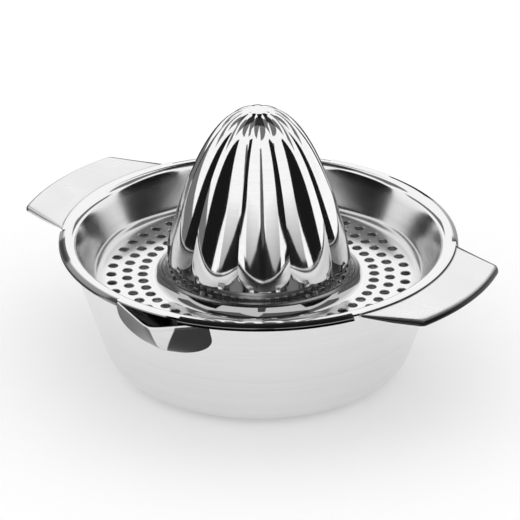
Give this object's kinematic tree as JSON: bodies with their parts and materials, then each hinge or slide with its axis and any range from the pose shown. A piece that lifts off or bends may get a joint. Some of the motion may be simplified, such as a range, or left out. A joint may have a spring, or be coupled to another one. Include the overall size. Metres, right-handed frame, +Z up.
{
  "type": "hand citrus juicer",
  "caption": "Polished steel hand citrus juicer with side handles: a fluted reamer cone on a perforated strainer tray that lifts off a flat-based bowl with beak spouts.",
  "frame": {"origin": "centre of the bowl's flat base, on the table", "axes": "+Z up along the axis of bowl and reamer, +X along the right handle, -Y towards the front spout"},
  "size_m": [0.1852, 0.1542, 0.1034],
  "materials": {
    "bowl_steel": "satin-polished stainless steel",
    "mirror_steel": "mirror-polished stainless steel",
    "handle_steel": "fine-polished stainless steel"
  },
  "bodies": {
    "bowl": {"bowl": "bowl_steel", "front_spout": "bowl_steel", "rear_spout": "bowl_steel"},
    "insert": {"strainer_tray": "mirror_steel", "reamer_cone": "mirror_steel", "left_handle": "handle_steel", "right_handle": "handle_steel"}
  },
  "joints": [
    {"name": "insert_lift", "type": "slide", "parent": "bowl", "child": "insert", "axis": [0, 0, 1], "range_m": [0, 0.08]}
  ]
}
